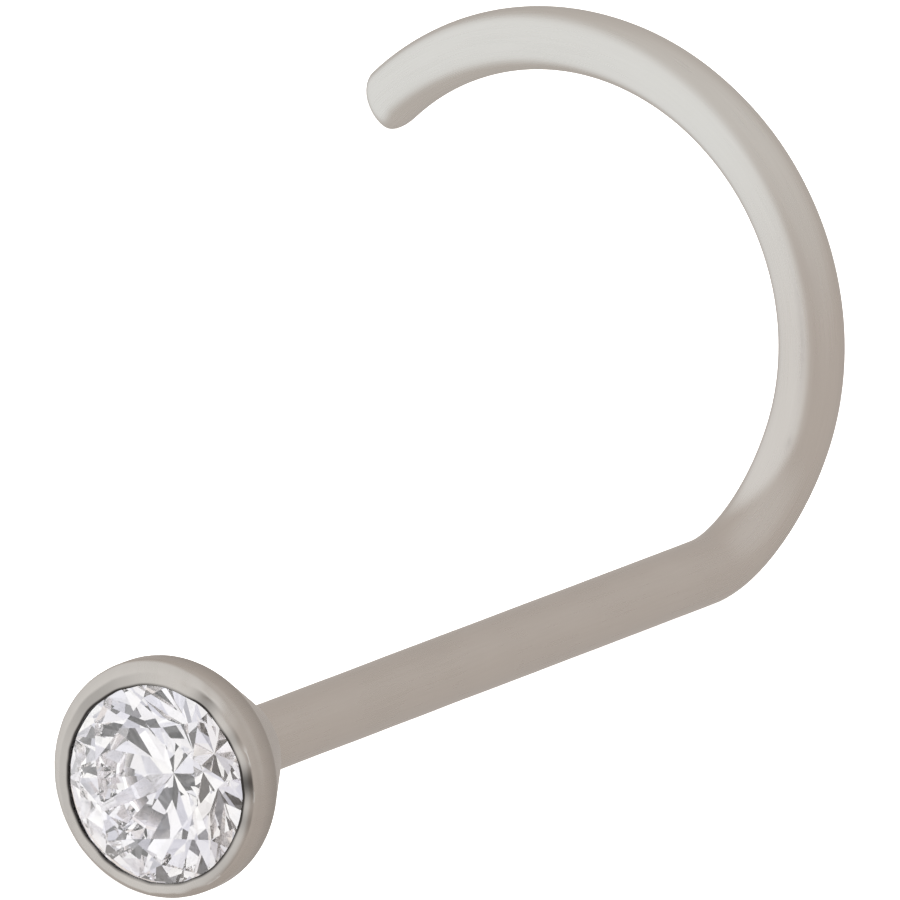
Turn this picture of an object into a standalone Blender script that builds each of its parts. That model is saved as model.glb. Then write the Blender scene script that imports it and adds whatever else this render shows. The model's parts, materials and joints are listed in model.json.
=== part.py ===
"""A nose stud of the screw kind, lying at rest on the floor.

A round brilliant stone sits in a closed cup under a rubbed-over lip. The cup is soldered to a
wire that runs straight through the piercing, bends square and ends in an open curl.

Lengths are in metres, +Z is up and the floor is Z = 0. Each piece is first made in the stud's
own frame: its +Z runs out of the stone's table, its Z = 0 is the flat back of the cup, the
wire goes down -Z, bends to +X and curls round to +Y. An empty then lays the stud down.
"""

import math

import bmesh
import bpy
from mathutils import Matrix, Vector

MM = 0.001

# Stone: a round brilliant
STONE_DIAMETER = 2.00 * MM
TABLE_DIAMETER = 1.12 * MM
GIRDLE_THICKNESS = 0.06 * MM
CROWN_ANGLE = math.radians(34.0)
PAVILION_ANGLE = math.radians(41.0)
STAR_REACH = 0.50  # share of the way from the table to the girdle that a star facet covers
LOWER_HALF_REACH = 0.77  # share of the way from the girdle to the point that a lower half covers
MAIN_FACETS = 8

# Cup
SEAT_CLEARANCE = 0.015 * MM  # between the stone and the metal, all round
CUP_WALL = 0.10 * MM
CUP_FLOOR = 0.16 * MM
CULET_ROOM = 0.05 * MM  # under the point of the stone
BEARING_WIDTH = 0.12 * MM  # the ledge that carries the stone's girdle
BAND_HEIGHT = 0.24 * MM  # the cup's straight outer side
BACK_DIAMETER = 1.18 * MM
LIP_OVERLAP = 0.078 * MM  # how far the lip reaches in over the stone's edge
MOUTH_SHIFT = 0.04 * MM  # the lip was rubbed in further on one side
MOUTH_SHIFT_AZIMUTH = math.radians(219.0)
LIP_THICKNESS = 0.045 * MM
LIP_TOP_WIDTH = 0.07 * MM  # the narrow upper face of the lip
LIP_FALL = 0.09 * MM  # from the lip's upper face down to the top of the band
CORNER_ROUND = 0.04 * MM
SOLDER_FILLET = 0.09 * MM

# Wire
WIRE_DIAMETER = 0.635 * MM
TIP_DIAMETER = 0.595 * MM  # the curl thins a little towards its end
POST_LENGTH = 8.93 * MM  # straight wire between the cup's back and the bend
BEND_RADIUS = 1.29 * MM
BEND_ANGLE = math.radians(90.0)
CURL_RADIUS = 2.705 * MM
CURL_ANGLE = math.radians(148.5)
TIP_DOME_HEIGHT = 0.27 * MM
TIP_LEAN = 0.18 * MM  # the end is rounded off more on the curl's outer side

# Fineness of the round forms
SIDES = 40
CORNER_STEPS = 3
FILLET_STEPS = 4
BEND_STEPS = 10
CURL_STEPS = 36
DOME_STEPS = 5
SETTLING_STEPS = 12

# Each corner of the stone's outline, seen from the side
STONE_RADIUS = STONE_DIAMETER / 2
TABLE_RADIUS = TABLE_DIAMETER / 2
CULET_Z = CUP_FLOOR + CULET_ROOM
GIRDLE_LOW = CULET_Z + STONE_RADIUS * math.tan(PAVILION_ANGLE)
GIRDLE_HIGH = GIRDLE_LOW + GIRDLE_THICKNESS
TABLE_Z = GIRDLE_HIGH + (STONE_RADIUS - TABLE_RADIUS) * math.tan(CROWN_ANGLE)

# Neighbouring main facets meet in an edge halfway between them, where they lie lower
FACET_STEP = 2 * math.pi / MAIN_FACETS
EDGE_SHARE = math.cos(FACET_STEP / 2)
STAR_RADIUS = TABLE_RADIUS + (STONE_RADIUS - TABLE_RADIUS) * STAR_REACH
STAR_RISE = (STONE_RADIUS - STAR_RADIUS * EDGE_SHARE) * math.tan(CROWN_ANGLE)
LOWER_RADIUS = STONE_RADIUS * (1 - LOWER_HALF_REACH)
LOWER_Z = CULET_Z + LOWER_RADIUS * EDGE_SHARE * math.tan(PAVILION_ANGLE)
CROWN_SLOPE = STAR_RISE / (STONE_RADIUS - STAR_RADIUS)
PAVILION_SLOPE = (GIRDLE_LOW - LOWER_Z) / (STONE_RADIUS - LOWER_RADIUS)

POST_RADIUS = WIRE_DIAMETER / 2
TIP_RADIUS = TIP_DIAMETER / 2


def material(name, colour, metallic, roughness):
    finish = bpy.data.materials.new(name)
    finish.use_nodes = True
    shader = finish.node_tree.nodes["Principled BSDF"]
    shader.inputs["Base Color"].default_value = (*colour, 1.0)
    shader.inputs["Metallic"].default_value = metallic
    shader.inputs["Roughness"].default_value = roughness
    return finish


def add_object(name, bm, finish):
    bmesh.ops.recalc_face_normals(bm, faces=bm.faces)
    mesh = bpy.data.meshes.new(name)
    bm.to_mesh(mesh)
    bm.free()
    mesh.materials.append(finish)
    piece = bpy.data.objects.new(name, mesh)
    bpy.context.scene.collection.objects.link(piece)
    return piece


def polar(radius, azimuth, height):
    """A point given by its distance from the stud's axis, its azimuth and its height."""
    return Vector((radius * math.cos(azimuth), radius * math.sin(azimuth), height))


def facet_planes():
    """Every facet's plane, as three points on it."""
    half = FACET_STEP / 2
    planes = [[polar(TABLE_RADIUS, i * FACET_STEP, TABLE_Z) for i in range(3)]]
    for k in range(MAIN_FACETS):
        here = k * FACET_STEP
        table = polar(TABLE_RADIUS, here, TABLE_Z)
        next_table = polar(TABLE_RADIUS, here + FACET_STEP, TABLE_Z)
        girdle_top = polar(STONE_RADIUS, here, GIRDLE_HIGH)
        girdle_foot = polar(STONE_RADIUS, here, GIRDLE_LOW)
        culet = Vector((0, 0, CULET_Z))
        for side in (-half, half):
            star = polar(STAR_RADIUS, here + side, GIRDLE_HIGH + STAR_RISE)
            lower = polar(LOWER_RADIUS, here + side, LOWER_Z)
            planes.append((girdle_top, star, polar(STONE_RADIUS, here + side, GIRDLE_HIGH)))
            planes.append((girdle_foot, lower, polar(STONE_RADIUS, here + side, GIRDLE_LOW)))
        planes.append((table, next_table, star))
        planes.append((table, girdle_top, star))
        planes.append((culet, girdle_foot, lower))
    return planes


def build_stone(finish):
    """A round blank, ground flat along one facet's plane after another, as a cutter does it."""
    middle = Vector((0, 0, (GIRDLE_LOW + GIRDLE_HIGH) / 2))
    blank_height = 2 * STONE_DIAMETER
    bm = bmesh.new()
    bmesh.ops.create_cone(
        bm,
        cap_ends=True,
        segments=4 * MAIN_FACETS,
        radius1=STONE_RADIUS,
        radius2=STONE_RADIUS,
        depth=blank_height,
        matrix=Matrix.Translation(middle),
    )
    for a, b, c in facet_planes():
        outward = (b - a).cross(c - a).normalized()
        if outward.dot(a - middle) < 0:
            outward.negate()
        blank = bm.verts[:] + bm.edges[:] + bm.faces[:]
        bmesh.ops.bisect_plane(
            bm, geom=blank, dist=1e-8, plane_co=a, plane_no=outward, clear_outer=True
        )
        rim = [e for e in bm.edges if e.is_boundary]
        bmesh.ops.holes_fill(bm, edges=rim)
    return add_object("stone", bm, finish)


def rounded(before, corner, after):
    """Points along a short curve that takes the corner off between its two neighbours."""
    before, corner, after = Vector(before), Vector(corner), Vector(after)
    start = corner + (before - corner).normalized() * CORNER_ROUND
    end = corner + (after - corner).normalized() * CORNER_ROUND
    shares = (i / CORNER_STEPS for i in range(CORNER_STEPS + 1))
    return [start * (1 - t) ** 2 + corner * (2 * t * (1 - t)) + end * t**2 for t in shares]


def cup_profile():
    """(radius, height, shift) of each ring, from the cup's floor over seat, lip and band to the post."""
    seat = STONE_RADIUS + SEAT_CLEARANCE
    outer = seat + CUP_WALL
    mouth = STONE_RADIUS - LIP_OVERLAP
    seat_foot = GIRDLE_LOW - SEAT_CLEARANCE
    seat_top = GIRDLE_HIGH + SEAT_CLEARANCE
    lip_reach = LIP_OVERLAP + MOUTH_SHIFT + SEAT_CLEARANCE
    mouth_foot = seat_top + lip_reach * CROWN_SLOPE
    lip_top = mouth_foot + LIP_THICKNESS
    lip_shoulder = (mouth + LIP_TOP_WIDTH, lip_top)
    band_top = (outer, lip_top - LIP_FALL)
    band_foot = (outer, lip_top - LIP_FALL - BAND_HEIGHT)
    back_edge = (BACK_DIAMETER / 2, 0)
    inside = [
        (BACK_DIAMETER / 2 - CUP_WALL, CUP_FLOOR),
        (seat - BEARING_WIDTH, seat_foot - BEARING_WIDTH * PAVILION_SLOPE),
        (seat, seat_foot),
        (seat, seat_top),
    ]
    lip = [(mouth, mouth_foot), (mouth, lip_top), *rounded((mouth, lip_top), lip_shoulder, band_top)]
    outside = [
        *rounded(lip_shoulder, band_top, band_foot),
        *rounded(band_top, band_foot, back_edge),
        back_edge,
    ]
    quarter = (i / FILLET_STEPS * math.pi / 2 for i in range(FILLET_STEPS + 1))
    fillet = [
        (
            POST_RADIUS + SOLDER_FILLET * (1 - math.sin(t)),
            -SOLDER_FILLET * (1 - math.cos(t)),
        )
        for t in quarter
    ]
    shifted = [(r, z, MOUTH_SHIFT) for r, z in lip]
    return [(r, z, 0) for r, z in inside] + shifted + [(r, z, 0) for r, z in outside + fillet]


def wire_path():
    """(centre, direction, radius) of each section of the wire, from the bend to the tip."""
    down, side, inward = Vector((0, 0, -1)), Vector((1, 0, 0)), Vector((0, 1, 0))
    sections = []
    for i in range(BEND_STEPS + 1):
        turn = BEND_ANGLE * i / BEND_STEPS
        centre = down * (POST_LENGTH + BEND_RADIUS * math.sin(turn))
        centre += side * BEND_RADIUS * (1 - math.cos(turn))
        sections.append((centre, down * math.cos(turn) + side * math.sin(turn), POST_RADIUS))
    start, ahead, _ = sections[-1]
    for i in range(1, CURL_STEPS + 1):
        turn = CURL_ANGLE * i / CURL_STEPS
        centre = start + CURL_RADIUS * (ahead * math.sin(turn) + inward * (1 - math.cos(turn)))
        direction = ahead * math.cos(turn) + inward * math.sin(turn)
        radius = POST_RADIUS + (TIP_RADIUS - POST_RADIUS) * i / CURL_STEPS
        sections.append((centre, direction, radius))
    end, onward, _ = sections[-1]
    to_middle = inward * math.cos(CURL_ANGLE) - ahead * math.sin(CURL_ANGLE)
    for i in range(1, DOME_STEPS + 1):
        turn = math.pi / 2 * i / DOME_STEPS
        centre = end + onward * TIP_DOME_HEIGHT * math.sin(turn)
        centre += to_middle * TIP_LEAN * (1 - math.cos(turn))
        sections.append((centre, onward, TIP_RADIUS * math.cos(turn)))
    return sections


def build_metal(finish):
    """Cup and wire as one skin: a ring of points for each section, from floor to tip."""
    down = Vector((0, 0, -1))
    sections = [(polar(shift, MOUTH_SHIFT_AZIMUTH, z), down, r) for r, z, shift in cup_profile()]
    sections += wire_path()
    apex, _, _ = sections.pop()
    bm = bmesh.new()
    rings = []
    across = Vector((0, 1, 0))
    for centre, direction, radius in sections:
        across = (across - direction * across.dot(direction)).normalized()
        over = direction.cross(across)
        angles = (2 * math.pi * k / SIDES for k in range(SIDES))
        offsets = (across * math.cos(t) + over * math.sin(t) for t in angles)
        rings.append([bm.verts.new(centre + radius * offset) for offset in offsets])
    for ring, following in zip(rings, rings[1:]):
        for k in range(SIDES):
            n = (k + 1) % SIDES
            bm.faces.new((ring[k], ring[n], following[n], following[k]))
    for ring, middle in ((rings[0], Vector((0, 0, CUP_FLOOR))), (rings[-1], apex)):
        point = bm.verts.new(middle)
        for k in range(SIDES):
            bm.faces.new((ring[k], ring[(k + 1) % SIDES], point))
    return add_object("cup_and_wire", bm, finish)


def lay_down(metal, stone):
    """The stud rests on three feet: the rim of the cup, the heel of the bend and the tip."""
    points = [v.co.copy() for v in metal.data.vertices]
    cup_end = SIDES * len(cup_profile())
    bend_end = cup_end + SIDES * (BEND_STEPS + 1)
    tip_start = bend_end + SIDES * (CURL_STEPS - 1)
    rim = points[:cup_end]
    heel = points[cup_end:bend_end]
    tip = points[tip_start : tip_start + SIDES * DOME_STEPS]
    # The open side of the curl faces down: that is away from +X and halfway to +Y
    down = Vector((-2, 1, 0)).normalized()
    for _ in range(SETTLING_STEPS):
        feet = [max(group, key=down.dot) for group in (rim, heel, tip)]
        normal = (feet[1] - feet[0]).cross(feet[2] - feet[0]).normalized()
        down = normal if normal.dot(down) > 0 else -normal
    up = -down
    post = Vector((0, 0, -1))
    along = (post - up * post.dot(up)).normalized()
    turned = Matrix((along, up.cross(along), up))
    placed = [turned @ p for p in points]
    low = [min(p[i] for p in placed) for i in range(3)]
    high = [max(p[i] for p in placed) for i in range(3)]
    rest = bpy.data.objects.new("rest", None)
    bpy.context.scene.collection.objects.link(rest)
    rest.matrix_world = Matrix.Translation(
        (-(low[0] + high[0]) / 2, -(low[1] + high[1]) / 2, -low[2])
    ) @ turned.to_4x4()
    for piece in (metal, stone):
        piece.parent = rest


def main():
    for piece in list(bpy.data.objects):
        bpy.data.objects.remove(piece)
    steel = material("satin_steel", (0.47, 0.44, 0.41), 1.0, 0.38)
    crystal = material("clear_crystal", (0.92, 0.93, 0.96), 0.0, 0.04)
    metal = build_metal(steel)
    metal.data.shade_smooth()
    metal.data.set_sharp_from_angle(angle=math.radians(35))
    stone = build_stone(crystal)
    lay_down(metal, stone)


main()
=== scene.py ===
"""Looks of the nose stud: satin steel screw with a burnished lip, and a bright round brilliant.

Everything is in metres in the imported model's frame. The pieces are first made in the stud's
own frame (+Z out of the stone's table, Z = 0 on the cup's back, the wire going down -Z,
bending to +X and curling round to +Y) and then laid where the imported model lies.
"""

import json
import math

import bmesh
import bpy
import numpy as np
from mathutils import Matrix, Vector, noise


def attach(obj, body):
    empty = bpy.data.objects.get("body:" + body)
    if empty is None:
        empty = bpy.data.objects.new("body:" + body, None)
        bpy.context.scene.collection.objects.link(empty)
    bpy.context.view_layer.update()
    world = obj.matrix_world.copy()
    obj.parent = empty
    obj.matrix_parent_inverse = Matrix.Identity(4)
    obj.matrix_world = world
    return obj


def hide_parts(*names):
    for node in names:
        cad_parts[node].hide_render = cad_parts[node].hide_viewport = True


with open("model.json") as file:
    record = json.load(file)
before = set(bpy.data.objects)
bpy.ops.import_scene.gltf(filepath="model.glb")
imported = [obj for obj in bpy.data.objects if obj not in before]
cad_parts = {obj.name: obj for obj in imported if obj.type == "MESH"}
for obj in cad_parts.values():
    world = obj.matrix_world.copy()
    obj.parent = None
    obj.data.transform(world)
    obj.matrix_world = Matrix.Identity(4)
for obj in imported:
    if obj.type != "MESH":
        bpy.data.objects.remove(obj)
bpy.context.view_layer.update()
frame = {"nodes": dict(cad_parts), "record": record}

MM = 0.001

# Stone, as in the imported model
STONE_RADIUS = 1.00 * MM
TABLE_RADIUS = 0.56 * MM
GIRDLE_THICKNESS = 0.06 * MM
CROWN_ANGLE = math.radians(34.0)
PAVILION_ANGLE = math.radians(41.0)
STAR_REACH = 0.50
LOWER_HALF_REACH = 0.77
MAIN_FACETS = 8
GIRDLE_SIDES = 4 * MAIN_FACETS
CULET_Z = 0.21 * MM

# Cup and wire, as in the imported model
SEAT_CLEARANCE = 0.015 * MM
CUP_WALL = 0.10 * MM
CUP_FLOOR = 0.16 * MM
BEARING_WIDTH = 0.12 * MM
BAND_HEIGHT = 0.24 * MM
BACK_RADIUS = 0.59 * MM
LIP_OVERLAP = 0.078 * MM
MOUTH_SHIFT = 0.04 * MM
MOUTH_SHIFT_AZIMUTH = math.radians(219.0)
LIP_THICKNESS = 0.045 * MM
LIP_TOP_WIDTH = 0.07 * MM
LIP_FALL = 0.09 * MM
CORNER_ROUND = 0.04 * MM
SOLDER_FILLET = 0.09 * MM
POST_RADIUS = 0.3175 * MM
TIP_RADIUS = 0.2975 * MM
POST_LENGTH = 8.93 * MM
BEND_RADIUS = 1.29 * MM
CURL_RADIUS = 2.705 * MM
CURL_ANGLE = math.radians(148.5)
TIP_DOME_HEIGHT = 0.27 * MM
TIP_LEAN = 0.18 * MM

# How the stud lies: the bend leaves the post this far round from upright
CURL_LEAN = math.radians(27.7725)

# The photograph's view of the stud, which foreshortens the post
PHOTO_SIDE = 900
POST_TILT = math.radians(32.01)  # between the post and the line of sight
POST_RISE = math.radians(20.18)  # of the post in the picture, above level
CURL_TURN = math.radians(39.09)  # of the stud round its own axis
PIXELS_PER_MM = 108.5
LENS_DISTANCE = 30000  # in pixels
AXIS_PIXEL = (299.85, 725.3)  # where the post shows this far before the bend:
AXIS_RUN = 7.574 * MM
SENSOR_WIDTH = 36.0
NEAREST_SEEN = 0.01
FARTHEST_SEEN = 5.0
LIGHT_BOUNCES = 32

# How finely the cup and the wire are divided
RING_SIDES = 220
CORNER_STEPS = 6
LIP_ROWS = 3
FILLET_STEPS = 10
POST_STEPS = 80
BEND_STEPS = 28
CURL_STEPS = 120
DOME_STEPS = 14
SHARP_ANGLE = math.radians(30)

# Marks left by hand work. A higher rate makes a finer unevenness
LIP_WAVE = 0.010 * MM
LIP_WAVE_RATE = 2.3
LIP_RIPPLE = 0.009 * MM
LIP_RIPPLE_RATE = 7.0
LIP_RIPPLE_SHIFT = Vector((5, 2, 9))
WIRE_WAVE = 0.0022 * MM
WIRE_WAVE_RATE = 1.3
WIRE_WAVE_SQUEEZE = 0.9  # along the wire
DENT_DEPTH = 0.014 * MM
DENTS = (  # where the burnisher pressed harder: azimuth, half width in degrees, share of the depth
    (10, 4, 1.0),
    (27, 6, 0.6),
    (52, 8, 0.8),
    (77, 6, 0.7),
    (108, 9, 0.6),
    (150, 8, 0.7),
    (190, 7, 0.2),
    (232, 9, 0.8),
    (285, 6, 0.9),
    (306, 6, 1.0),
    (343, 6, 0.9),
)
GAP_SHADOWS = (  # painted shadow, darker along these stretches of the lip's inner edge: azimuth, half width in degrees, how dark
    (58, 30, 1.3),
    (120, 30, 0.5),
    (163, 8, 0.3),
    (240, 24, 0.7),
    (272, 7, 1.4),
    (293, 9, 3.2),
    (318, 6, 1.2),
    (343, 8, 1.8),
)

# Hand and painted shade of each stretch of the cup. Hand is the share that it takes of the
# burnisher's unevenness. The second number is the painted shade: 1 in the gap round the stone, where
# shadow is painted, less over the lip's crest, the brow and the side, and -1 where the metal is
# polished instead
HOLLOW = (0, -1)
LIP_FOOT = (0.6, 1)
LIP_EDGE = (1, 0.75)
LIP_CREST = (0.7, 0.05)
CUP_BROW = (0.25, 0.12)
CUP_SIDE = (0.1, 0.30)
ROOT = (0, 0)
DENTS_FROM = 0.7  # the hand from which a ring has the dents
GAP_SHADOWS_FROM = 0.6  # the hand above which a ring takes the painted shadows of the lip's inner edge, fully at 1

# Steel
# Painted light: the COOL tones, on the curl, are lighter than the WARM ones on the post, standing in
# for the curl's brighter reflections
WARM_LIGHT = (0.55, 0.525, 0.50, 1)
WARM_DARK = (0.455, 0.43, 0.405, 1)
COOL_LIGHT = (0.60, 0.595, 0.575, 1)
COOL_DARK = (0.50, 0.493, 0.475, 1)
CURL_LIGHTENING = (1.0, 3.0)  # mm along the curl over which the post's warm tone goes to the curl's painted lighter, cooler tone
# Painted shade: near black, mixed in most in the gap round the stone and lightly over the lip and the
# cup's side
PAINTED_SHADE = (0.035, 0.032, 0.03, 1)
POLISHED = (0.97, 0.97, 0.98, 1)
EDGE_TINT = (0.78, 0.78, 0.78, 1)
SMOOTHER = 0.22
ROUGHER = 0.34
POLISHED_ROUGHNESS = 0.08
# Noise scale, detail, and rates across the wire (twice) and along it
LINES = (1.0, 3.0, (38.0, 38.0, 1.4))
SPECKS = (42.0, 2.0, (1, 1, 1))
MOTTLE = (1.1, 3.0, (1, 1, 0.7))
LINES_IN_TONE = 0.45  # and the rest is mottling
SPECKS_IN_RELIEF = 0.5  # and the rest is lines
RELIEF_STRENGTH = 0.5
RELIEF_DEPTH = 0.0012 * MM

# Crystal
CLEAR = (1.0, 1.0, 1.0, 1)
CRYSTAL_IOR = 2.17
# Painted light: faint lavender and cream tints standing in for the fire of the stone's dispersion
TINT_SCALE = 1900.0
TINT_DETAIL = 2.0
FIRE_TINTS = (
    (0.35, (0.955, 0.95, 1.0, 1)),
    (0.65, (1.0, 0.985, 0.965, 1)),
)

# Paper and lamp
PAPER = (0.9, 0.9, 0.9, 1)
PAPER_ROUGHNESS = 0.9
PAPER_REACH = 3.0
PAPER_BELOW = 0.02 * MM
GLOW = (1, 1, 1, 1)
GLOW_STRENGTH = 0.8
LAMP_PLACE = Vector((0.0, 0.0, 1.0))
LAMP_WIDTH = 3.0
LAMP_WATTS = 18.0

# The room: how bright it is by direction from the stud. A side fades in between two cosines
ROOM = (0.83, 0.765, 0.715, 1)
SKY = (0.95, 0.905, 0.865, 1)
SKY_TOWARDS = Vector((0, 0, 1))
SKY_COSINES = (0.3, 1.0)
WINDOW = (1.27, 1.27, 1.26, 1)
WINDOW_TOWARDS = Vector((-0.663, 0.557, -0.5))
WINDOW_COSINES = (0.15, 0.62)

# What leaves the stone meets patches of these tones, in about even shares from 0 to 1
PATCH_SCALE = 12.0
PATCH_SHIFT = (73.1, 31.7, 57.3)
PATCH_TONES = (
    (0.24, (0.0, 0.0, 0.0, 1)),
    (0.27, (0.12, 0.12, 0.13, 1)),
    (0.31, (0.50, 0.50, 0.55, 1)),
    (0.40, (0.76, 0.76, 0.82, 1)),
    (0.62, (0.90, 0.89, 0.88, 1)),
    (0.85, (1.06, 1.06, 1.05, 1)),
)


# Where the stud lies


def stud_axes():
    """The stud's X, Y and Z in the row frame, from the cup's back and the lean of the curl."""
    mount = frame["record"]["mounts"][0]
    z = -Vector(mount["axis"]).normalized()
    upright = (Vector((0, 0, 1)) - z * z.z).normalized()
    x = upright * math.cos(CURL_LEAN) + Vector((0, 1, 0)) * math.sin(CURL_LEAN)
    return x, z.cross(x), z


def stud_origin(x, y, z):
    """The middle of the cup's back: the stone gives the axis, the mount the height along it."""
    points = [v.co for v in frame["nodes"]["stone"].data.vertices]
    middle = Vector((0, 0, 0))
    for side in (x, y):
        reach = [p.dot(side) for p in points]
        middle += side * (min(reach) + max(reach)) / 2
    return middle + z * Vector(frame["record"]["mounts"][0]["pos_m"]).dot(z)


STUD_X, STUD_Y, STUD_Z = stud_axes()
ORIGIN = stud_origin(STUD_X, STUD_Y, STUD_Z)
LAID = Matrix.Translation(ORIGIN) @ Matrix((STUD_X, STUD_Y, STUD_Z)).transposed().to_4x4()


# Helpers

# Sockets of a mix node by kind: its factor, A and B, and its result
MIX_SOCKETS = {"FLOAT": (0, 2, 3, 0), "RGBA": (0, 6, 7, 2)}


def shader_of(material):
    return material.node_tree.nodes["Principled BSDF"]


def new_material(name, colour, roughness, metallic=0.0):
    made = bpy.data.materials.new(name)
    made.use_nodes = True
    shader = shader_of(made)
    shader.inputs["Base Color"].default_value = colour
    shader.inputs["Roughness"].default_value = roughness
    shader.inputs["Metallic"].default_value = metallic
    return made


def mixed(tree, kind, share, a, b):
    """The output of a mix of a and b, where each input is a value or another node's output."""
    mix = tree.nodes.new("ShaderNodeMix")
    mix.data_type = kind
    *sockets, result = MIX_SOCKETS[kind]
    for index, value in zip(sockets, (share, a, b)):
        if isinstance(value, bpy.types.NodeSocket):
            tree.links.new(value, mix.inputs[index])
        else:
            mix.inputs[index].default_value = value
    return mix.outputs[result]


def toned(tree, factor, tones):
    """The output of a colour ramp that has a stop for each (position, colour) of the tones."""
    ramp = tree.nodes.new("ShaderNodeValToRGB")
    stops = ramp.color_ramp.elements
    for stop, (position, tone) in zip((stops[0], stops[1]), tones):
        stop.position = position
        stop.color = tone
    for position, tone in tones[2:]:
        stops.new(position).color = tone
    tree.links.new(factor, ramp.inputs["Fac"])
    return ramp.outputs["Color"]


def polar(radius, azimuth, height):
    return Vector((radius * math.cos(azimuth), radius * math.sin(azimuth), height))


def add_mesh(name, points, faces, material):
    """Points are in the stud's own frame."""
    mesh = bpy.data.meshes.new(name)
    mesh.from_pydata([tuple(LAID @ Vector(p)) for p in points], [], faces)
    mesh.materials.append(material)
    mesh.update()
    piece = bpy.data.objects.new(name, mesh)
    bpy.context.scene.collection.objects.link(piece)
    return piece


# Stone

GIRDLE_LOW = CULET_Z + STONE_RADIUS * math.tan(PAVILION_ANGLE)
GIRDLE_HIGH = GIRDLE_LOW + GIRDLE_THICKNESS
TABLE_Z = GIRDLE_HIGH + (STONE_RADIUS - TABLE_RADIUS) * math.tan(CROWN_ANGLE)
FACET_STEP = 2 * math.pi / MAIN_FACETS
EDGE_SHARE = math.cos(FACET_STEP / 2)
STAR_RADIUS = TABLE_RADIUS + (STONE_RADIUS - TABLE_RADIUS) * STAR_REACH
STAR_RISE = (STONE_RADIUS - STAR_RADIUS * EDGE_SHARE) * math.tan(CROWN_ANGLE)
LOWER_RADIUS = STONE_RADIUS * (1 - LOWER_HALF_REACH)
LOWER_Z = CULET_Z + LOWER_RADIUS * EDGE_SHARE * math.tan(PAVILION_ANGLE)
CROWN_SLOPE = STAR_RISE / (STONE_RADIUS - STAR_RADIUS)
PAVILION_SLOPE = (GIRDLE_LOW - LOWER_Z) / (STONE_RADIUS - LOWER_RADIUS)
BLANK_HEIGHT = 4 * STONE_RADIUS
CUT_TOLERANCE = 1e-8


def facet_planes():
    """Three points on the plane of each facet of the crown and the pavilion."""
    half = FACET_STEP / 2
    culet = Vector((0, 0, CULET_Z))
    planes = [[polar(TABLE_RADIUS, i * FACET_STEP, TABLE_Z) for i in range(3)]]
    for k in range(MAIN_FACETS):
        here = k * FACET_STEP
        table = polar(TABLE_RADIUS, here, TABLE_Z)
        next_table = polar(TABLE_RADIUS, here + FACET_STEP, TABLE_Z)
        girdle_top = polar(STONE_RADIUS, here, GIRDLE_HIGH)
        girdle_foot = polar(STONE_RADIUS, here, GIRDLE_LOW)
        for side in (-half, half):
            star = polar(STAR_RADIUS, here + side, GIRDLE_HIGH + STAR_RISE)
            lower = polar(LOWER_RADIUS, here + side, LOWER_Z)
            planes.append((girdle_top, star, polar(STONE_RADIUS, here + side, GIRDLE_HIGH)))
            planes.append((girdle_foot, lower, polar(STONE_RADIUS, here + side, GIRDLE_LOW)))
        # The star and lower points are now those halfway to the next main facet
        planes.append((table, next_table, star))
        planes.append((table, girdle_top, star))
        planes.append((culet, girdle_foot, lower))
    return planes


def crystal_material():
    """Clear stone with a breath of lavender and cream painted in from place to place, standing in for
    its fire.
    """
    made = new_material("clear_crystal", CLEAR, 0.0)
    shader = shader_of(made)
    shader.inputs["IOR"].default_value = CRYSTAL_IOR
    shader.inputs["Transmission Weight"].default_value = 1.0
    tree = made.node_tree
    place = tree.nodes.new("ShaderNodeTexCoord")
    cloud = tree.nodes.new("ShaderNodeTexNoise")
    cloud.inputs["Scale"].default_value = TINT_SCALE
    cloud.inputs["Detail"].default_value = TINT_DETAIL
    tree.links.new(place.outputs["Object"], cloud.inputs["Vector"])
    tree.links.new(toned(tree, cloud.outputs["Fac"], FIRE_TINTS), shader.inputs["Base Color"])
    return made


def add_stone():
    """A round blank with the girdle's sides, cut along each facet's plane."""
    middle = Vector((0, 0, (GIRDLE_LOW + GIRDLE_HIGH) / 2))
    bm = bmesh.new()
    bmesh.ops.create_cone(
        bm,
        cap_ends=True,
        segments=GIRDLE_SIDES,
        radius1=STONE_RADIUS,
        radius2=STONE_RADIUS,
        depth=BLANK_HEIGHT,
        matrix=Matrix.Translation(middle),
    )
    for a, b, c in facet_planes():
        outward = (b - a).cross(c - a).normalized()
        if outward.dot(a - middle) < 0:
            outward.negate()
        bmesh.ops.bisect_plane(
            bm,
            geom=bm.verts[:] + bm.edges[:] + bm.faces[:],
            dist=CUT_TOLERANCE,
            plane_co=a,
            plane_no=outward,
            clear_outer=True,
        )
        bmesh.ops.holes_fill(bm, edges=[e for e in bm.edges if e.is_boundary])
    bmesh.ops.recalc_face_normals(bm, faces=bm.faces)
    bm.verts.index_update()
    points = [v.co.copy() for v in bm.verts]
    faces = [[v.index for v in f.verts] for f in bm.faces]
    bm.free()
    piece = add_mesh("brilliant", points, faces, crystal_material())
    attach(piece, "root")
    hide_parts("stone")


# Cup


def rounded(before, corner, after):
    """Points along a curve that takes the corner off a profile."""
    before, corner, after = Vector(before), Vector(corner), Vector(after)
    start = corner + (before - corner).normalized() * CORNER_ROUND
    end = corner + (after - corner).normalized() * CORNER_ROUND
    shares = (i / CORNER_STEPS for i in range(CORNER_STEPS + 1))
    return [start * (1 - t) ** 2 + corner * (2 * t * (1 - t)) + end * t**2 for t in shares]


def between(start, end):
    """Rows evenly spread between two rows of the lip's profile, both left out."""
    shares = [i / (LIP_ROWS + 1) for i in range(1, LIP_ROWS + 1)]
    return [tuple(a + (b - a) * share for a, b in zip(start, end)) for share in shares]


def fillet_point(turn):
    """On the solder's hollow round, which goes from the cup's back to the wire."""
    radius = POST_RADIUS + SOLDER_FILLET * (1 - math.sin(turn))
    return radius, -SOLDER_FILLET * (1 - math.cos(turn))


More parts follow.
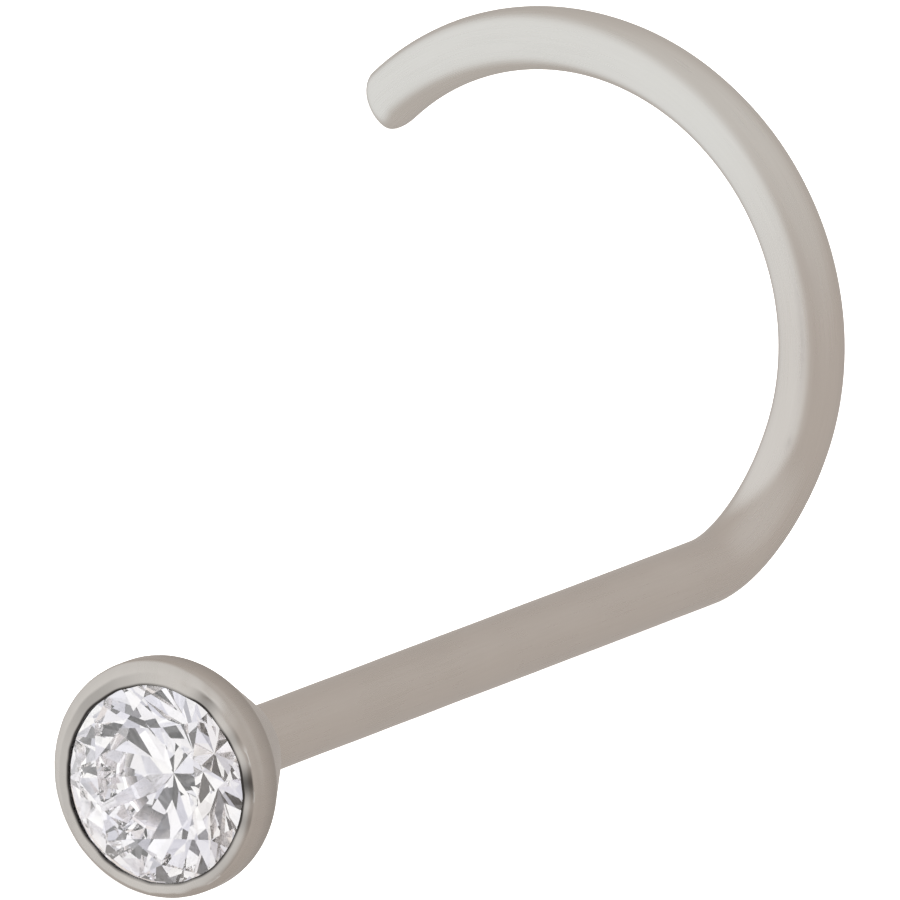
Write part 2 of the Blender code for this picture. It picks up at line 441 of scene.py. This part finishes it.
def cup_profile():
    """(radius, height, shift, hand, painted shade) of each ring, from the hollow's floor to the wire.
    """
    seat = STONE_RADIUS + SEAT_CLEARANCE
    outer = seat + CUP_WALL
    mouth = STONE_RADIUS - LIP_OVERLAP
    seat_foot = GIRDLE_LOW - SEAT_CLEARANCE
    seat_top = GIRDLE_HIGH + SEAT_CLEARANCE
    mouth_foot = seat_top + (LIP_OVERLAP + MOUTH_SHIFT + SEAT_CLEARANCE) * CROWN_SLOPE
    lip_top = mouth_foot + LIP_THICKNESS
    lip_shoulder = (mouth + LIP_TOP_WIDTH, lip_top)
    band_top = (outer, lip_top - LIP_FALL)
    band_foot = (outer, lip_top - LIP_FALL - BAND_HEIGHT)
    back_edge = (BACK_RADIUS, 0)
    inside = [
        (BACK_RADIUS - CUP_WALL, CUP_FLOOR, 0, *HOLLOW),
        (seat - BEARING_WIDTH, seat_foot - BEARING_WIDTH * PAVILION_SLOPE, 0, *HOLLOW),
        (seat, seat_foot, 0, *HOLLOW),
        (seat, seat_top, 0, *HOLLOW),
    ]
    foot = (mouth, mouth_foot, MOUTH_SHIFT, *LIP_FOOT)
    edge = (mouth, lip_top, MOUTH_SHIFT, *LIP_EDGE)
    over_lip = rounded(edge[:2], lip_shoulder, band_top)
    over_band = rounded(lip_shoulder, band_top, band_foot)
    to_back = (*rounded(band_top, band_foot, back_edge), back_edge)
    turns = (i / FILLET_STEPS * math.pi / 2 for i in range(FILLET_STEPS + 1))
    crest = [(r, z, MOUTH_SHIFT, *LIP_CREST) for r, z in over_lip]
    brow = [(r, z, 0, *CUP_BROW) for r, z in over_band]
    side = [(r, z, 0, *CUP_SIDE) for r, z in to_back]
    root = [(*fillet_point(turn), 0, *ROOT) for turn in turns]
    return [
        *inside,
        foot,
        *between(foot, edge),
        edge,
        *between(edge, crest[0]),
        *crest,
        *between(crest[-1], brow[0]),
        *brow,
        *between(brow[-1], side[0]),
        *side,
        *root,
    ]


def ring_angle(k):
    return 2 * math.pi * k / RING_SIDES


def cup_azimuth(k):
    return math.pi / 2 - ring_angle(k)


def uneven(azimuth, height):
    """How far the burnisher left the lip in or out and up or down, between about -1 and 1."""
    spot = Vector((math.cos(azimuth), math.sin(azimuth), height / MM))
    wave = noise.noise(spot * LIP_WAVE_RATE)
    ripple = noise.noise(spot * LIP_RIPPLE_RATE + LIP_RIPPLE_SHIFT)
    return wave, ripple


def near(azimuth, marks):
    """The sum of the marks' strengths at an azimuth, each falling off over its half width."""
    total = 0
    for middle, half, strength in marks:
        apart = (math.degrees(azimuth) - middle + 180) % 360 - 180
        total += strength * math.exp(-((apart / half) ** 2))
    return total


def cup_points(radius, height, shift, hand):
    """A ring of the cup with the burnisher's marks."""
    centre = polar(shift, MOUTH_SHIFT_AZIMUTH, height)
    points = []
    for k in range(RING_SIDES):
        azimuth = cup_azimuth(k)
        wave, ripple = uneven(azimuth, height)
        out = hand * (LIP_WAVE * wave + LIP_RIPPLE * ripple)
        rise = hand * (LIP_WAVE * ripple - LIP_RIPPLE * wave)
        if hand >= DENTS_FROM:
            rise -= DENT_DEPTH * near(azimuth, DENTS)
        points.append(centre + polar(radius + out, azimuth, rise))
    return points


def cup_shade_and_polish(hand, shade_and_polish):
    """The painted shade and polish at each point of a ring, with the painted shadows along the lip's
    inner edge.
    """
    share = max(0, hand - GAP_SHADOWS_FROM) / (1 - GAP_SHADOWS_FROM)
    return [min(1, shade_and_polish + share * near(cup_azimuth(k), GAP_SHADOWS)) for k in range(RING_SIDES)]


# Wire


def wire_path():
    """(middle, direction, radius) of each ring of the wire, down the post and round to the tip."""
    down, side, inward = Vector((0, 0, -1)), Vector((1, 0, 0)), Vector((0, 1, 0))
    sections = []
    for i in range(1, POST_STEPS):
        run = SOLDER_FILLET + (POST_LENGTH - SOLDER_FILLET) * i / POST_STEPS
        sections.append((down * run, down, POST_RADIUS))
    for i in range(BEND_STEPS + 1):
        turn = math.pi / 2 * i / BEND_STEPS
        centre = down * (POST_LENGTH + BEND_RADIUS * math.sin(turn))
        centre += side * BEND_RADIUS * (1 - math.cos(turn))
        sections.append((centre, down * math.cos(turn) + side * math.sin(turn), POST_RADIUS))
    start, ahead, _ = sections[-1]
    for i in range(1, CURL_STEPS + 1):
        turn = CURL_ANGLE * i / CURL_STEPS
        centre = start + CURL_RADIUS * (ahead * math.sin(turn) + inward * (1 - math.cos(turn)))
        direction = ahead * math.cos(turn) + inward * math.sin(turn)
        radius = POST_RADIUS + (TIP_RADIUS - POST_RADIUS) * i / CURL_STEPS
        sections.append((centre, direction, radius))
    end, onward, _ = sections[-1]
    to_middle = inward * math.cos(CURL_ANGLE) - ahead * math.sin(CURL_ANGLE)
    for i in range(1, DOME_STEPS + 1):
        turn = math.pi / 2 * i / DOME_STEPS
        centre = end + onward * TIP_DOME_HEIGHT * math.sin(turn)
        centre += to_middle * TIP_LEAN * (1 - math.cos(turn))
        sections.append((centre, onward, TIP_RADIUS * math.cos(turn)))
    return sections


def drawn_radius(radius, angle, run):
    """The radius at one place on the wire: drawn and bent wire is never quite even."""
    spot = Vector((math.cos(angle), math.sin(angle), run / MM * WIRE_WAVE_SQUEEZE))
    settle = min(1, run / MM) * radius / POST_RADIUS
    return radius + WIRE_WAVE * settle * noise.noise(spot * WIRE_WAVE_RATE)


# Cup and wire in one piece


def cup_rings():
    """(points, run, painted shade and polish at each point) of each ring, where run is how far along
    it lies.
    """
    rings = []
    run = 0.0
    for radius, height, shift, hand, shade_and_polish in cup_profile():
        points = cup_points(radius, height, shift, hand)
        if rings:
            run += (points[0] - rings[-1][0][0]).length
        rings.append((points, run, cup_shade_and_polish(hand, shade_and_polish)))
    return rings


def wire_rings(sections, run):
    """The same for the wire's sections, after the cup's run."""
    rings = []
    across = Vector((0, 1, 0))
    before = sections[0][0]
    travelled = 0.0
    for centre, direction, radius in sections:
        across = (across - direction * across.dot(direction)).normalized()
        over = direction.cross(across)
        travelled += (centre - before).length
        before = centre
        points = []
        for k in range(RING_SIDES):
            angle = ring_angle(k)
            reach = drawn_radius(radius, angle, travelled)
            points.append(centre + reach * (across * math.cos(angle) + over * math.sin(angle)))
        rings.append((points, run + travelled, [0] * RING_SIDES))
    return rings


def metal_faces(ring_count):
    """Quads between rings, and two fans round the two points that come after the rings' own."""
    pairs = [(k, (k + 1) % RING_SIDES) for k in range(RING_SIDES)]
    faces = []
    for row in range(ring_count - 1):
        this = row * RING_SIDES
        following = this + RING_SIDES
        faces += [(this + k, this + n, following + n, following + k) for k, n in pairs]
    last = (ring_count - 1) * RING_SIDES
    floor_middle = ring_count * RING_SIDES
    tip = floor_middle + 1
    faces += [(n, k, floor_middle) for k, n in pairs]
    faces += [(last + k, last + n, tip) for k, n in pairs]
    return faces


def steel_material(curl_start):
    """Satin steel with fine lines, grain and mottling, painted shade in the gap round the stone and
    lightly over the lip and the cup's side, polished inside, and painted lighter and cooler along the
    curl.

    The attribute grain holds the metal's own coordinates in mm, with Z along the wire, and the
    curl starts at curl_start on it.
    """
    made = new_material("satin_steel", WARM_LIGHT, ROUGHER, 1.0)
    shader = shader_of(made)
    shader.inputs["Specular Tint"].default_value = EDGE_TINT
    tree = made.node_tree
    nodes, links = tree.nodes, tree.links

    def attribute(name):
        node = nodes.new("ShaderNodeAttribute")
        node.attribute_name = name
        return node.outputs

    def noise_of(scale, detail, rates):
        squeeze = nodes.new("ShaderNodeMapping")
        squeeze.inputs["Scale"].default_value = rates
        cloud = nodes.new("ShaderNodeTexNoise")
        cloud.inputs["Scale"].default_value = scale
        cloud.inputs["Detail"].default_value = detail
        links.new(grain, squeeze.inputs["Vector"])
        links.new(squeeze.outputs["Vector"], cloud.inputs["Vector"])
        return cloud.outputs["Fac"]

    grain = attribute("grain")["Vector"]
    # A value above 0 gives painted shade, and a value below 0 gives polish
    shade_and_polish = attribute("shade_and_polish")["Fac"]
    lines = noise_of(*LINES)
    specks = noise_of(*SPECKS)
    mottle = noise_of(*MOTTLE)
    blend = mixed(tree, "FLOAT", LINES_IN_TONE, mottle, lines)

    place = nodes.new("ShaderNodeSeparateXYZ")
    links.new(grain, place.inputs["Vector"])
    curl_lightening = nodes.new("ShaderNodeMapRange")
    curl_lightening.inputs["From Min"].default_value = curl_start + CURL_LIGHTENING[0]
    curl_lightening.inputs["From Max"].default_value = curl_start + CURL_LIGHTENING[1]
    links.new(place.outputs["Z"], curl_lightening.inputs["Value"])
    curl_share = curl_lightening.outputs["Result"]

    inside = nodes.new("ShaderNodeMath")
    inside.operation = "MULTIPLY"
    inside.inputs[1].default_value = -1
    links.new(shade_and_polish, inside.inputs[0])
    polish = inside.outputs["Value"]

    # Painted light: the curl's steel is lighter and cooler than the post's, standing in for its
    # brighter reflections
    dark = mixed(tree, "RGBA", curl_share, WARM_DARK, COOL_DARK)
    light = mixed(tree, "RGBA", curl_share, WARM_LIGHT, COOL_LIGHT)
    satin = mixed(tree, "RGBA", blend, dark, light)
    clean = mixed(tree, "RGBA", polish, satin, POLISHED)
    # Painted shade: the colour goes towards near black, most in the gap round the stone
    links.new(mixed(tree, "RGBA", shade_and_polish, clean, PAINTED_SHADE), shader.inputs["Base Color"])

    rough = mixed(tree, "FLOAT", blend, SMOOTHER, ROUGHER)
    polished = mixed(tree, "FLOAT", polish, rough, POLISHED_ROUGHNESS)
    links.new(polished, shader.inputs["Roughness"])

    bump = nodes.new("ShaderNodeBump")
    bump.inputs["Strength"].default_value = RELIEF_STRENGTH
    bump.inputs["Distance"].default_value = RELIEF_DEPTH
    links.new(mixed(tree, "FLOAT", SPECKS_IN_RELIEF, lines, specks), bump.inputs["Height"])
    links.new(bump.outputs["Normal"], shader.inputs["Normal"])
    return made


def add_metal():
    """One closed mesh. Reflections leave it out, or it would put a dark streak on the bend."""
    *sections, (tip, _, _) = wire_path()
    rings = cup_rings()
    rings += wire_rings(sections, rings[-1][1])
    points, grain, shade_and_polish = [], [], []
    for ring, run, ring_shade_and_polish in rings:
        points += ring
        shade_and_polish += ring_shade_and_polish
        for k in range(RING_SIDES):
            angle = ring_angle(k)
            x, y = math.cos(angle) * POST_RADIUS, math.sin(angle) * POST_RADIUS
            grain.append((x / MM, y / MM, run / MM))
    # The middles of the hollow's floor and of the tip close the two ends
    points += [Vector((0, 0, CUP_FLOOR)), tip]
    grain += [(0, 0, rings[0][1] / MM), (0, 0, rings[-1][1] / MM)]
    shade_and_polish += [HOLLOW[1], 0]
    curl_start = rings[-CURL_STEPS - DOME_STEPS][1] / MM
    faces = metal_faces(len(rings))
    piece = add_mesh("screw_wire", points, faces, steel_material(curl_start))
    mesh = piece.data
    # One attribute carries the painted shade, which stands for polish below 0
    for name, kind, field, values in (
        ("grain", "FLOAT_VECTOR", "vector", grain),
        ("shade_and_polish", "FLOAT", "value", shade_and_polish),
    ):
        attribute = mesh.attributes.new(name, kind, "POINT")
        attribute.data.foreach_set(field, np.array(values, "f").ravel())
    mesh.shade_smooth()
    mesh.set_sharp_from_angle(angle=SHARP_ANGLE)
    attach(piece, "root")
    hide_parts("cup_and_wire")
    piece.visible_glossy = False


# Setting


def add_camera():
    """Looks at the stud as the photograph does, through a long lens."""
    tilt_sin, tilt_cos = math.sin(POST_TILT), math.cos(POST_TILT)
    rise_sin, rise_cos = math.sin(POST_RISE), math.cos(POST_RISE)
    # In the camera's axes: the way down the post, two directions square to it, and the stud's X, Y
    post = Vector((tilt_sin * rise_cos, tilt_sin * rise_sin, -tilt_cos))
    across = Vector((-rise_sin, rise_cos, 0))
    over = post.cross(across)
    stud_x = across * math.cos(CURL_TURN) + over * math.sin(CURL_TURN)
    stud_y = across * math.sin(CURL_TURN) - over * math.cos(CURL_TURN)
    to_stud = Matrix((stud_x, stud_y, -post))
    pixel = MM / PIXELS_PER_MM
    on_axis = Vector((0, 0, AXIS_RUN - POST_LENGTH))
    middle = PHOTO_SIDE / 2
    back = Vector((middle - AXIS_PIXEL[0], AXIS_PIXEL[1] - middle, LENS_DISTANCE)) * pixel
    place = on_axis + to_stud @ back
    data = bpy.data.cameras.new("photo_camera")
    data.sensor_width = SENSOR_WIDTH
    data.lens = SENSOR_WIDTH * LENS_DISTANCE / PHOTO_SIDE
    data.clip_start = NEAREST_SEEN
    data.clip_end = FARTHEST_SEEN
    camera = bpy.data.objects.new("photo_camera", data)
    bpy.context.scene.collection.objects.link(camera)
    camera.matrix_world = LAID @ Matrix.Translation(place) @ to_stud.to_4x4()
    bpy.context.scene.camera = camera


def add_floor():
    """White paper on a light table, so that hardly any shadow shows."""
    corners = [(x * PAPER_REACH, y * PAPER_REACH, 0) for x, y in ((-1, -1), (1, -1), (1, 1), (-1, 1))]
    mesh = bpy.data.meshes.new("floor")
    mesh.from_pydata(corners, [], [(0, 1, 2, 3)])
    paper = new_material("paper", PAPER, PAPER_ROUGHNESS)
    shader = shader_of(paper)
    shader.inputs["Emission Color"].default_value = GLOW
    shader.inputs["Emission Strength"].default_value = GLOW_STRENGTH
    mesh.materials.append(paper)
    floor = bpy.data.objects.new("floor", mesh)
    floor.location.z = -PAPER_BELOW
    floor.visible_glossy = False
    floor.visible_transmission = False
    bpy.context.scene.collection.objects.link(floor)


def add_lamp():
    """A very large soft lamp, which lights the paper but doesn't show in the metal or stone."""
    data = bpy.data.lights.new("overhead", "AREA")
    data.shape = "DISK"
    data.size = LAMP_WIDTH
    data.energy = LAMP_WATTS
    lamp = bpy.data.objects.new("overhead", data)
    bpy.context.scene.collection.objects.link(lamp)
    lamp.location = LAMP_PLACE
    lamp.rotation_mode = "QUATERNION"
    lamp.rotation_quaternion = (-LAMP_PLACE).to_track_quat("-Z", "Y")
    lamp.visible_glossy = False
    lamp.visible_transmission = False


def add_world():
    """A softly lit room with one bright side, and patches that only light from the stone meets."""
    world = bpy.data.worlds.new("studio")
    world.use_nodes = True
    tree = world.node_tree
    nodes, links = tree.nodes, tree.links
    towards = nodes.new("ShaderNodeTexCoord").outputs["Generated"]

    def facing(direction, cosines):
        """0 to 1 as a ray comes nearer to a direction, between the cosines of two angles."""
        dot = nodes.new("ShaderNodeVectorMath")
        dot.operation = "DOT_PRODUCT"
        dot.inputs[1].default_value = direction.normalized()
        links.new(towards, dot.inputs[0])
        spread = nodes.new("ShaderNodeMapRange")
        spread.interpolation_type = "SMOOTHSTEP"
        spread.inputs["From Min"].default_value = cosines[0]
        spread.inputs["From Max"].default_value = cosines[1]
        links.new(dot.outputs["Value"], spread.inputs["Value"])
        return spread.outputs["Result"]

    walls = mixed(tree, "RGBA", facing(SKY_TOWARDS, SKY_COSINES), ROOM, SKY)
    room = mixed(tree, "RGBA", facing(WINDOW_TOWARDS, WINDOW_COSINES), walls, WINDOW)
    shift = nodes.new("ShaderNodeVectorMath")
    shift.inputs[1].default_value = PATCH_SHIFT
    links.new(towards, shift.inputs[0])
    patches = nodes.new("ShaderNodeTexVoronoi")
    patches.inputs["Scale"].default_value = PATCH_SCALE
    links.new(shift.outputs["Vector"], patches.inputs["Vector"])
    through = toned(tree, patches.outputs["Color"], PATCH_TONES)
    path = nodes.new("ShaderNodeLightPath")
    seen = mixed(tree, "RGBA", path.outputs["Is Transmission Ray"], room, through)
    links.new(seen, nodes["Background"].inputs["Color"])
    bpy.context.scene.world = world


def set_up_scene():
    """Plain colours, and enough bounces for light to find its way out of the stone."""
    scene = bpy.context.scene
    scene.view_settings.view_transform = "Standard"
    scene.cycles.max_bounces = LIGHT_BOUNCES
    scene.cycles.glossy_bounces = LIGHT_BOUNCES
    scene.cycles.transmission_bounces = LIGHT_BOUNCES


set_up_scene()
add_camera()
add_world()
add_floor()
add_lamp()
add_stone()
add_metal()
